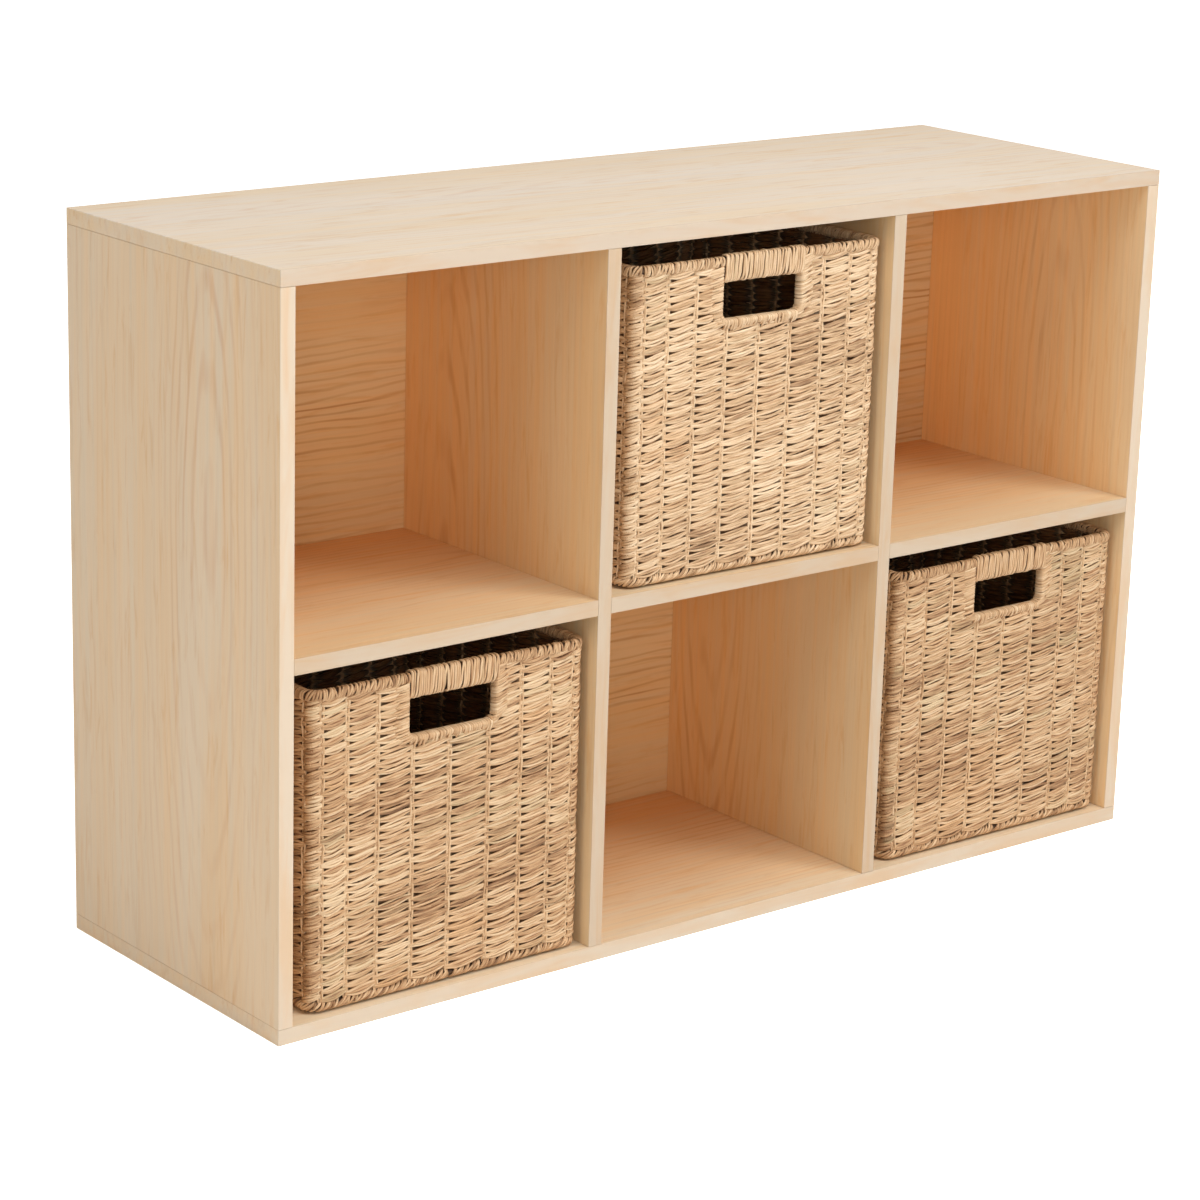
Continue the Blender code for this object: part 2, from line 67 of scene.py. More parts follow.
# Boards
BOARD_BEVEL = 0.0006
EDGE_BAND = 0.0008  # depth of the lighter band along the front edges
FLECK = (0.90, 0.74, 0.56, 1.0)  # tint of the short warm flecks

# Basket walls
CORNER_RADIUS = 0.014
WALL_HALF = 0.0035
PATH_RADIUS = CORNER_RADIUS - WALL_HALF
ROW_PITCH = 0.0064
COLUMNS = 9  # of stake pairs on a face, with a bay between neighbours and one round each corner
COLUMN_REACH = 0.0015  # how far the outer columns stand past the flat part of a face
COLUMN_SPACING = (1.18, -0.18)  # the columns stand closer near the corners, as a * j + b * j^3
COLUMN_JITTER = 0.0020
CORNER_LAP = 0.04  # of a bay, by which two faces' strands lap in the middle of a corner

# Twined strands. A value that grows with the bulge is greatest in the middle of a bay.
PLIES = 3
BAY_STEPS = 7
STRAND_SIDES = 6
TIP = 0.08  # a strand's end, as a share of its full thickness
TWIST_DEPTH = 0.0025  # how far a strand swings out of the wall's middle
TWIST_SHAPE = 0.7  # power of the bulge, below 1 for a fuller swing
TWIST_RISE = 0.0017  # how far it climbs or falls either side of its row
SLANT_CHANCE = 0.22
LIFT_CHANCE = 0.00028
SHIFT_CHANCE = 0.00045
MIDDLE_PLY_OUT = 0.00035
PLY_SPREAD = (0.00048, 0.0019)  # between plies where strands cross, and how much it grows
SPREAD_SHAPE = 0.8
STRAND_HALF_WIDE = (0.0009, 0.0006)  # where strands cross, and how much it grows
STRAND_HALF_THICK = (0.00085, -0.0001)
ROW_SWAY = 0.0006
END_FADE = 0.3  # of a bay
SIDE_PAINTED_SHADE = 1.0  # painted shade: the sides' strands, which stand in the cells' shadow, are darker than the front's
SIDE_PAINTED_BOUNCE_TINT = 1.6  # and redder, a painted tint of light bounced off the wood round them

# Stakes
STAKE_APART = 0.0015  # from the middle of a pair
STAKE_OUT = 0.0004
STAKE_RADIUS = 0.0010
INNER_STAKE_RADIUS = 0.0013
STAKE_STEPS = 36

# Hand hole and wound bars
HOLE_CORNER = 0.007
HOLE_EASE = 0.0045  # each end of the woven hole lies this far beyond the CAD's binding
LOOP_GAP = 0.0006  # from the hole's edge to a loop's middle line
LOOP_DIP = 0.0034  # how far a loop's ends dip into the weave
LOOP_SLOPE = 0.25  # of the loops round the hole's sides, like the stitches they leave
LOOP_TURN = (0.3, 0.7)  # share of a loop's length at which it starts and ends its turn round the edge
WINDING_JOIN = math.radians(200)  # round a wound bar from its outer side, where one turn meets the next


# Strand meshes


class Strands:
    """Collects flat strands and makes one mesh of them."""

    def __init__(self, rng):
        self.rng = rng
        self.groups = []

    def add(self, centres, outward, half_wide, half_thick, tone, hue, depth=1.0, sides=STRAND_SIDES,
            tapered=(True, True)):
        """Each row of centres is one strand. Its flat side faces outward. The rest may be arrays.

        depth is 1 on the outside of the basket's wall, 0 in its middle and -1 on the inside. The material
        paints shade from it on the parts behind the middle and on the inside.
        """
        shape = centres.shape[:2]
        values = (half_wide, half_thick, tone, hue, depth)
        full = [np.broadcast_to(value, shape).astype(float) for value in values]
        outward = np.broadcast_to(outward, centres.shape)
        for end, narrow in zip((0, -1), tapered):
            if narrow:
                for sizes in full[:2]:
                    sizes[:, end] *= TIP
        self.groups.append((centres, outward, *full, sides))

    def mesh(self, name, cells_across=1):
        total = sum(len(group[0]) for group in self.groups)
        cells_down = math.ceil(total / cells_across)
        corners, quads, places, fibres, leaves = [], [], [], [], []
        first_corner = 0
        first_strand = 0
        for centres, outward, wide, thick, tone, hue, depth, sides in self.groups:
            count, length = centres.shape[:2]
            points, across = strand_sections(centres, outward, wide, thick, sides)
            corners.append(points.reshape(-1, 3))
            quads.append(first_corner + section_quads(count, length, sides))
            steps = np.linalg.norm(np.diff(centres, axis=1), axis=2)
            along = np.concatenate([np.zeros((count, 1)), np.cumsum(steps, axis=1)], axis=1)
            number = first_strand + np.arange(count)
            full = (count, length, sides)
            apart = along + 0.37 * number[:, None]
            fibres.append(np.stack(np.broadcast_arrays(
                apart[..., None], across, depth[..., None]), axis=-1).reshape(-1, 3))
            random = self.rng.random(count)[:, None, None]
            leaves.append(np.stack(np.broadcast_arrays(
                tone[..., None], hue[..., None], np.broadcast_to(random, full)), axis=-1).reshape(-1, 3))
            u = (number % cells_across)[:, None] + 0.02 + 0.96 * np.linspace(0, 1, length)[None, :]
            side_height = 0.5 + 0.3 * np.cos(np.linspace(0, math.tau, sides, endpoint=False))
            v = (number // cells_across)[:, None, None] + side_height[None, None, :]
            places.append(np.stack(np.broadcast_arrays(
                u[..., None] / cells_across, v / cells_down), axis=-1).reshape(-1, 2))
            first_corner += count * length * sides
            first_strand += count
        return mesh_from_arrays(
            name, np.concatenate(corners), np.concatenate(quads), np.concatenate(places),
            {"fibre_and_shade_depth": np.concatenate(fibres), "leaf": np.concatenate(leaves)})


def unit(vectors):
    return vectors / np.maximum(np.linalg.norm(vectors, axis=-1, keepdims=True), 1e-9)


def strand_sections(centres, outward, wide, thick, sides):
    """The corners of an oval section round each centre, and each corner's place across the strand."""
    tangent = unit(np.gradient(centres, axis=1))
    sideways = unit(np.cross(outward, tangent))
    normal = np.cross(tangent, sideways)
    angle = np.linspace(0, math.tau, sides, endpoint=False)
    across = wide[..., None] * np.cos(angle)
    deep = thick[..., None] * np.sin(angle)
    points = centres[:, :, None] + across[..., None] * sideways[:, :, None]
    points = points + deep[..., None] * normal[:, :, None]
    return points, across


def section_quads(count, length, sides):
    index = np.arange(count * length * sides).reshape(count, length, sides)
    near, far = index[:, :-1], index[:, 1:]
    quads = np.stack([near, np.roll(near, -1, axis=2), np.roll(far, -1, axis=2), far], axis=-1)
    return quads.reshape(-1, 4)


def mesh_from_arrays(name, corners, quads, places, attributes):
    mesh = bpy.data.meshes.new(name)
    mesh.vertices.add(len(corners))
    mesh.vertices.foreach_set("co", corners.astype(np.float32).ravel())
    mesh.loops.add(quads.size)
    mesh.loops.foreach_set("vertex_index", quads.astype(np.int32).ravel())
    mesh.polygons.add(len(quads))
    mesh.polygons.foreach_set("loop_start", np.arange(0, quads.size, 4, dtype=np.int32))
    mesh.update(calc_edges=True)
    for attribute_name, values in attributes.items():
        attribute = mesh.attributes.new(attribute_name, "FLOAT_VECTOR", "POINT")
        attribute.data.foreach_set("vector", values.astype(np.float32).ravel())
    layer = mesh.uv_layers.new(name="OFBake")
    layer.uv.foreach_set("vector", places[quads.ravel()].astype(np.float32).ravel())
    mesh.shade_smooth()
    return mesh


# Basket sizes and paths


class Basket:
    """One basket's sizes, read from its CAD nodes, with its own seeded chance."""

    def __init__(self, name, seed):
        self.name = name
        self.body = f"basket_{name}"
        self.rng = np.random.default_rng(seed)
        low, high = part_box(f"{self.body}_body")
        rim_low, rim_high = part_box(f"{self.body}_rim_wrap")
        foot_low, foot_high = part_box(f"{self.body}_foot_border")
        grip_low, grip_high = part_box(f"{self.body}_handle_grip")
        binding_low, binding_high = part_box(f"{self.body}_hole_binding")
        floor = foot_low[2]
        self.place = Vector(((low[0] + high[0]) / 2, (low[1] + high[1]) / 2, floor))
        self.width = high[0] - low[0]
        self.depth = high[1] - low[1]
        self.wall_low = foot_high[2] - floor
        self.rim_low = rim_low[2] - floor
        self.rim_top = rim_high[2] - floor
        self.base_low = low[2] - floor
        self.hole_half = (binding_high[0] - binding_low[0]) / 2 + HOLE_EASE
        self.hole_low = binding_high[2] - floor
        self.hole_high = grip_low[2] - floor
        self.grip_top = grip_high[2] - floor
        self.columns = [self.column_places(face) for face in range(4)]
        self.numbers = np.concatenate([[-0.5], np.arange(COLUMNS), [COLUMNS - 0.5]])

    def straight_half(self, face):
        """Half of a face's flat part."""
        span = self.width if face % 2 == 0 else self.depth
        return span / 2 - CORNER_RADIUS

    def face_half(self, face):
        """Half of a face's run, from its middle to the middle of a corner."""
        return self.straight_half(face) + PATH_RADIUS * math.pi / 4

    def column_places(self, face):
        """Where the stake pairs cross the face's run, with the two corners' middles at the ends."""
        half = self.face_half(face)
        step = np.linspace(-1, 1, COLUMNS)
        straight, cubed = COLUMN_SPACING
        places = (self.straight_half(face) + COLUMN_REACH) * (straight * step + cubed * step ** 3)
        places[1:-1] += self.rng.uniform(-COLUMN_JITTER, COLUMN_JITTER, COLUMNS - 2)
        return np.concatenate([[-half], places, [half]])

    def place_of(self, face, numbers):
        """Places along the face's run, from column numbers that may lap past its ends."""
        places = self.columns[face]
        slope = (places[1] - places[0]) / (self.numbers[1] - self.numbers[0])
        lap = numbers - np.clip(numbers, self.numbers[0], self.numbers[-1])
        return np.interp(numbers, self.numbers, places) + slope * lap

    def run(self, face, place):
        """Points on the wall's middle line and their outward normals, for places along a face's run."""
        half = self.straight_half(face)
        angle = np.clip((np.abs(place) - half) / PATH_RADIUS, 0, None)
        side = np.sign(place)
        reach = (self.depth if face % 2 == 0 else self.width) / 2 - WALL_HALF
        x = np.clip(place, -half, half) + side * PATH_RADIUS * np.sin(angle)
        y = -reach + PATH_RADIUS * (1 - np.cos(angle))
        zero = np.zeros_like(x)
        points = np.stack([x, y, zero], axis=-1)
        normals = np.stack([side * np.sin(angle), -np.cos(angle), zero], axis=-1)
        turn = np.array(Matrix.Rotation(face * math.pi / 2, 3, "Z"))
        return points @ turn.T, normals @ turn.T

    def around(self, place):
        """As run, for places along the whole way round that start at the front's middle."""
        total = 2 * (self.face_half(0) + self.face_half(1)) * 2
        place = np.mod(place, total)
        points = np.zeros(place.shape + (3,))
        normals = np.zeros(place.shape + (3,))
        start = -self.face_half(0)
        for lap in range(5):
            face = lap % 4
            end = start + 2 * self.face_half(face)
            inside = (place >= start) & (place < end)
            middle = (start + end) / 2
            points[inside], normals[inside] = self.run(face, place[inside] - middle)
            start = end
        return points, normals

    def piece(self, name, mesh, material, *replaced):
        """Places a woven mesh, which rides on the basket and stands for some of its CAD nodes."""
        item = bpy.data.objects.new(f"{self.body}_{name}", mesh)
        bpy.context.scene.collection.objects.link(item)
        mesh.materials.append(material)
        item.location = self.place
        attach(item, self.body)
        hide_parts(*[f"{self.body}_{node}" for node in replaced])


def patches(rng, rows, bays, size):
    """Smooth random values from about -1 to 1 over a face, in patches of the given size."""
    coarse = rng.normal(0, 1, (rows // size + 3, bays // 2 + 3))
    row = np.linspace(0.1, rows / size, rows)
    bay = np.linspace(0.1, bays / 2, bays)
    low_row, low_bay = row.astype(int), bay.astype(int)
    part_row, part_bay = (row - low_row)[:, None], (bay - low_bay)[None, :]
    near = coarse[low_row][:, low_bay] * (1 - part_bay) + coarse[low_row][:, low_bay + 1] * part_bay
    far = coarse[low_row + 1][:, low_bay] * (1 - part_bay) + coarse[low_row + 1][:, low_bay + 1] * part_bay
    return near * (1 - part_row) + far * part_row


# Weaving


class Chance:
    """Random values for every stitch all the way round, so that a strand keeps its own past a corner."""

    def __init__(self, basket, rows):
        rng = basket.rng
        bays = 4 * COLUMNS
        shape = (rows, 2, PLIES, bays)
        self.shift = rng.normal(0, 1, shape)
        self.lift = rng.normal(0, 1, shape)
        self.width = rng.uniform(0.75, 1.25, shape)
        self.slant = rng.normal(0, 1, (rows, 2, 1, bays))
        self.tone = rng.normal(0, 0.35, (rows, 2, 1, bays)) + rng.normal(0, 0.6, shape)
        self.hue = rng.normal(0, 0.35, (rows, 2, 1, bays)) + rng.normal(0, 0.2, shape)
        self.tone += 0.5 * patches(rng, rows, bays, 4)[:, None, None, :]
        self.hue += 0.55 * patches(rng, rows, bays, 5)[:, None, None, :]


def twined_group(strands, basket, face, rows, heights, columns, chance, open_ends=(False, False)):
    """Adds the twined strands of some rows along the given run of column numbers."""
    row = rows[:, None, None, None]
    weft = np.arange(2)[None, :, None, None]
    ply = np.arange(PLIES)[None, None, :, None]
    run = columns[None, None, None, :]
    bay = (np.floor(run).astype(int) + face * COLUMNS) % (4 * COLUMNS)
    angle = math.pi * (run + weft + face * COLUMNS)
    swing = np.sin(angle)
    bulge = np.abs(swing)
    slant = 1 + SLANT_CHANCE * chance.slant[row, weft, 0, bay] * bulge
    end_fade = np.ones_like(run)
    if open_ends[0]:
        end_fade = end_fade * np.clip((run - run[..., :1]) / END_FADE, 0, 1)
    if open_ends[1]:
        end_fade = end_fade * np.clip((run[..., -1:] - run) / END_FADE, 0, 1)
    out = TWIST_DEPTH * np.sign(swing) * bulge ** TWIST_SHAPE * end_fade
    out = out + LIFT_CHANCE * chance.lift[row, weft, ply, bay] * bulge
    out = out + MIDDLE_PLY_OUT * (ply == 1) * np.sign(swing) * bulge
    spread = PLY_SPREAD[0] + PLY_SPREAD[1] * bulge ** SPREAD_SHAPE * end_fade
    rise = -TWIST_RISE * np.cos(angle) * slant + (ply - (PLIES - 1) / 2) * spread
    rise = rise + SHIFT_CHANCE * chance.shift[row, weft, ply, bay] * bulge
    sway = ROW_SWAY * np.sin(math.tau * run / COLUMNS + row * 0.31) * np.sin(row * 0.9)
    whole_turn = math.tau * (run + face * COLUMNS) / (4 * COLUMNS)
    wander = 0.0007 * np.sin(row * 2.1 + 7 * whole_turn) + 0.0005 * np.sin(row * 0.83 + 11 * whole_turn)
    place = basket.place_of(face, columns) + wander
    points, normals = basket.run(face, place)
    z = heights[:, None, None, None] + rise + sway
    full = np.broadcast_shapes(out.shape, z.shape)
    centres = points + out[..., None] * normals + np.zeros(full + (3,))
    centres[..., 2] = z
    away = np.clip((run + 0.5) / END_FADE, 0, 1) * np.clip((COLUMNS - 0.5 - run) / END_FADE, 0, 1)
    side = away if face % 2 else 0 * away  # 1 on the left and right faces, fading at their corners
    # painted shade and a painted red tint of bounced light on the left and right faces, fading in from the
    # corners
    tone = chance.tone[row, weft, ply, bay] - SIDE_PAINTED_SHADE * side
    hue = chance.hue[row, weft, ply, bay] + SIDE_PAINTED_BOUNCE_TINT * side
    wide = (STRAND_HALF_WIDE[0] + STRAND_HALF_WIDE[1] * bulge) * chance.width[row, weft, ply, bay]
    thick = STRAND_HALF_THICK[0] + STRAND_HALF_THICK[1] * bulge

    def flat(values):
        return np.broadcast_to(values, full).reshape(-1, len(columns))

    # out / TWIST_DEPTH is passed as the depth, from which the material paints shade on the back halves of
    # the stitches
    strands.add(
        centres.reshape(-1, len(columns), 3),
        np.broadcast_to(normals, full + (3,)).reshape(-1, len(columns), 3),
        flat(wide), flat(thick), flat(tone), flat(hue), flat(out / TWIST_DEPTH), tapered=open_ends)


def add_stakes(strands, basket, face):
    """The thin stake pairs that show between the stitches, and the stouter stakes inside the bays."""
    low, high = basket.wall_low * 0.6, basket.rim_low + 0.001
    rods = []
    places = basket.columns[face][1:-1]
    for column, following in zip(places, np.append(places[1:], places[-1])):
        rods += [(column + apart, STAKE_OUT, STAKE_RADIUS) for apart in (-STAKE_APART, STAKE_APART)]
        if following > column:
            rods.append(((column + following) / 2, 0.0, INNER_STAKE_RADIUS))
    for place, out, radius in rods:
        top = high
        if face == 0 and abs(place) < basket.hole_half + 0.001:
            top = basket.hole_low - 0.002
        z = np.linspace(low, top, STAKE_STEPS)
        wander = 0.00035 * np.sin(z * 240 + basket.rng.uniform(0, 6))
        wander = wander + basket.rng.normal(0, 0.0001, STAKE_STEPS)
        points, normals = basket.run(face, place + wander)
        centres = points + (out * (1 + 1.2 * basket.rng.normal(0, 1, STAKE_STEPS)))[:, None] * normals
        centres[:, 2] = z
        tone = basket.rng.normal(0.3, 0.4)
        # painted shade: the stouter stakes inside the bays get a depth below the wall's middle, which the
        # material darkens
        depth = 0.6 if out else -0.3
        strands.add(centres[None], normals[None], radius, radius, tone, basket.rng.normal(0.3, 0.3), depth)


def row_heights(basket):
    count = round((basket.rim_low - basket.wall_low) / ROW_PITCH)
    pitch = (basket.rim_low + 0.001 - basket.wall_low) / count
    return basket.wall_low + pitch * (np.arange(count) + 0.5)


def wall_mesh(basket, face, heights, chance):
    strands = Strands(basket.rng)
    rows = np.arange(len(heights))
    first, last = basket.numbers[0], basket.numbers[-1]
    every = np.linspace(first, last, COLUMNS * BAY_STEPS + 1)
    every = np.concatenate([[first - CORNER_LAP], every, [last + CORNER_LAP]])
    if face == 0:
        whole = heights < basket.hole_low
        twined_group(strands, basket, face, rows[whole], heights[whole], every, chance)
        edge = basket.hole_half + 0.002
        left_end, right_end = np.interp((-edge, edge), basket.columns[face], basket.numbers)
        cut = ~whole
        left = np.linspace(first - CORNER_LAP, left_end, round((left_end - first) * BAY_STEPS) + 1)
        right = np.linspace(right_end, last + CORNER_LAP, round((last - right_end) * BAY_STEPS) + 1)
        twined_group(strands, basket, face, rows[cut], heights[cut], left, chance, (False, True))
        twined_group(strands, basket, face, rows[cut], heights[cut], right, chance, (True, False))
    else:
        twined_group(strands, basket, face, rows, heights, every, chance)
    add_stakes(strands, basket, face)
    return strands.mesh(f"{basket.body}_wall_{face}")


def wound_group(strands, path, start, end, pitch, half_out, half_up, height, plies, square=2.0, steps=18,
                lean=0.0, thick=0.0009, contrast=0.5, cover=0.51, shade=-0.7):
    """Adds strands wound round a bar that follows the path, one strand for each turn and ply.

    square is 2 for a round bar and more for a squarer one. contrast and shade set the strands' tones.
    """
    rng = strands.rng
    turns = round((end - start) / pitch)
    pitch = (end - start) / turns
    along = np.linspace(0, 1, steps + 1)[None, None, :]
    angle = WINDING_JOIN + math.tau * along
    turn = np.arange(turns)[:, None, None]
    ply = np.arange(plies)[None, :, None]
    slip = rng.normal(0, 0.06, (turns, plies, 1))
    lean = (lean + rng.normal(0, 0.18, (turns, plies, 1))) * np.sin(angle)
    share = turn + along + (ply + 0.5) / plies + slip + lean
    place = start + pitch * np.clip(share, 0, turns)
    cosine, sine = np.cos(angle), np.sin(angle)
    swell = 1 + rng.normal(0, 0.025, (turns, plies, 1))
    out = half_out * swell * np.sign(cosine) * np.abs(cosine) ** (2 / square)
    up = half_up * swell * np.sign(sine) * np.abs(sine) ** (2 / square)
    points, normals = path(place)
    full = place.shape
    centres = points + out[..., None] * normals
    centres[..., 2] = height + up
    flat_normal = normals * (cosine * np.ones(full))[..., None]
    flat_normal[..., 2] = sine * half_out / half_up
    wide = cover * pitch / plies * rng.uniform(0.9, 1.15, (turns, plies, 1)) * np.ones(full)
    tone = rng.normal(shade, contrast, (turns, plies, 1)) * np.ones(full)
    hues = rng.normal(0, 0.4, (turns, plies, 1)) * np.ones(full)
    flat = (-1, steps + 1)
    strands.add(
        centres.reshape(-1, steps + 1, 3), unit(flat_normal).reshape(-1, steps + 1, 3), wide.reshape(flat),
        thick, tone.reshape(flat), hues.reshape(flat), tapered=(False, False))


def add_core(strands, path, start, end, half_out, half_up, height, steps):
    """A bar inside a winding, which closes the gaps between its turns, painted dark as the shade seen
    through them.
    """
    inner = np.linspace(start + 0.0002, end - 0.0002, steps)
    points, normals = path(np.concatenate([[start], inner, [end]]))
    centres = points.copy()
    centres[:, 2] = height
    strands.add(centres[None], normals[None], half_up, half_out, -2.5, 0.0, -0.5, sides=12)


def rim_mesh(basket):
    strands = Strands(basket.rng)
    total = 4 * (basket.face_half(0) + basket.face_half(1))
    start = basket.hole_half - 0.001
    end = total - start
    height = (basket.rim_low + basket.rim_top) / 2 - 0.0008
    half_up = basket.rim_top - height - 0.0004
    wound_group(
        strands, basket.around, start, end, pitch=0.0063, half_out=WALL_HALF, half_up=half_up,
        height=height, plies=3, square=2.6)
    add_core(strands, basket.around, start, end, WALL_HALF * 0.75, half_up * 0.85, height, 260)
    return strands.mesh(f"{basket.body}_rim", cells_across=8)


def foot_mesh(basket):
    strands = Strands(basket.rng)
    total = 4 * (basket.face_half(0) + basket.face_half(1))
    height = basket.wall_low / 2 + 0.0004
    half_up = height - 0.0012

    def path(place):
        points, normals = basket.around(place)
        return points - 0.0022 * normals, normals

    wound_group(
        strands, path, 0, total, pitch=0.0094, half_out=WALL_HALF + 0.0008, half_up=half_up,
        height=height, plies=4, lean=0.22, thick=0.0010, contrast=0.9, cover=0.43, shade=-0.8)
    add_core(strands, path, 0, total, WALL_HALF * 0.9, half_up * 0.85, height, 260)
    return strands.mesh(f"{basket.body}_foot", cells_across=8)


def front_path(basket):
    return lambda place: basket.run(0, place)


def handle_mesh(basket):
    strands = Strands(basket.rng)
    height = (basket.hole_high + basket.grip_top) / 2
    half_up = (basket.grip_top - basket.hole_high) / 2 - 0.0007
    reach = basket.hole_half + 0.0005
    half_out = WALL_HALF + 0.0010
    wound_group(
        strands, front_path(basket), -reach, reach, pitch=0.0044, half_out=half_out, half_up=half_up,
        height=height, plies=2, square=4.0, steps=28, lean=0.12, contrast=0.3, shade=0.1)
    add_core(
        strands, front_path(basket), -reach, reach, half_out * 0.8, half_up * 0.93, height, 8)
    return strands.mesh(f"{basket.body}_handle", cells_across=4)


def edge_loops(strands, places, at, leg, hue):
    """Strands that turn over the hole's edge. at gives points and normals from three distances."""
    rng = strands.rng
    step = places[1] - places[0]
    share = np.linspace(0, 1, 16)
    starts, ends = LOOP_TURN
    angle = np.clip((share - starts) / (ends - starts), 0, 1) * math.pi
    legs = np.clip((starts - share) / starts, 0, 1) + np.clip((share - ends) / (1 - ends), 0, 1)
    for place in places:
        for ply in range(2):
            reach = leg * rng.uniform(0.6, 1.4)
            bend = WALL_HALF + 0.0008 + rng.uniform(0, 0.0003)
            away = reach * legs - 0.0012 * np.sin(angle)
            out = bend * np.cos(angle) - np.sign(np.cos(angle)) * LOOP_DIP * legs ** 2
            along = place + (ply - 0.5) * step / 2 + rng.normal(0, 0.0003)
            along = along + rng.normal(0, 0.0009) * (share - 0.5)
            centres, outward = at(along, away, out, angle)
            strands.add(
                centres[None], outward[None], 0.36 * step * rng.uniform(0.85, 1.2), 0.0008,
                rng.normal(0.2, 0.5), hue + rng.normal(0, 0.4))


def binding_mesh(basket):
    """Strands over the hole's lower edge, and strands that turn round its two sides."""
    strands = Strands(basket.rng)
    front = -basket.depth / 2 + WALL_HALF

    def corner(distance):
        """How far the hole's edge leans in, for a distance from the lower corner along either edge."""
        return HOLE_CORNER * 0.6 * np.clip(1 - distance / HOLE_CORNER, 0, 1) ** 2

    def over_lower_edge(along, away, out, angle):
        z = basket.hole_low - LOOP_GAP - away + corner(reach - np.abs(along))
        centres = np.stack([along + 0 * away, front - out, z], axis=-1)
        outward = np.stack([0 * away, -np.cos(angle), np.sin(angle)], axis=-1)
        return centres, outward

    reach = basket.hole_half
    edge_loops(strands, np.arange(-reach, reach, 0.0042), over_lower_edge, 0.0065, 0.3)
    for side in (-1, 1):

        def round_side(along, away, out, angle, side=side):
            x = side * (basket.hole_half + LOOP_GAP + away - corner(along - basket.hole_low))
            z = along + 0.0006 * np.cos(angle) + side * LOOP_SLOPE * away
            centres = np.stack([x, front - out, z], axis=-1)
            outward = np.stack([-side * np.sin(angle), -np.cos(angle), 0 * away], axis=-1)
            return centres, outward

        heights = np.arange(basket.hole_low - 0.001, basket.rim_low, 0.0031)
        edge_loops(strands, heights, round_side, 0.0120, 0.1)
    return strands.mesh(f"{basket.body}_binding", cells_across=2)


def base_mesh(basket):
    """Flat strands over and under each other across the foot."""
    strands = Strands(basket.rng)
    inset = 2 * WALL_HALF + 0.003
    half_x = basket.width / 2 - inset
    half_y = basket.depth / 2 - inset
    height = basket.base_low + 0.003
    pitch = 0.0095
    for swapped, (half_run, half_place) in enumerate(((half_x, half_y), (half_y, half_x))):
        count = round(2 * half_place / pitch)
        crossings = round(2 * half_run / pitch)
        run = np.linspace(-half_run, half_run, crossings * 4 + 1)
        phase = math.pi * (run + half_run) / (2 * half_run) * crossings
        for number in range(count):
            place = -half_place + (number + 0.5) * 2 * half_place / count
            lift = 0.0011 * np.sin(phase + math.pi * (number + swapped))
            points = [run, place + 0 * run] if not swapped else [place + 0 * run, run]
            centres = np.stack([*points, height + lift], axis=-1)
            for ply in (-1, 0, 1):
                shifted = centres.copy()
                shifted[:, 0 if swapped else 1] += ply * 0.0027 + basket.rng.normal(0, 0.0002)
                strands.add(
                    shifted[None], np.array((0.0, 0.0, 1.0)), 0.0017, 0.0008,
                    basket.rng.normal(-0.2, 0.7), basket.rng.normal(0, 0.5))
    return strands.mesh(f"{basket.body}_base")


def weave_basket(basket, materials):
    heights = row_heights(basket)
    chance = Chance(basket, len(heights))
    for face, name in enumerate(("front", "right", "back", "left")):
        mesh = wall_mesh(basket, face, heights, chance)
        basket.piece(f"wall_{name}", mesh, materials["seagrass"], "body")
    basket.piece("base", base_mesh(basket), materials["seagrass"], "body")
    basket.piece("rim", rim_mesh(basket), materials["wrapping"], "rim_wrap")
    basket.piece("foot", foot_mesh(basket), materials["wrapping"], "foot_border")
    basket.piece("handle", handle_mesh(basket), materials["wrapping"], "handle_grip")
    basket.piece("binding", binding_mesh(basket), materials["wrapping"], "hole_binding")


# Materials


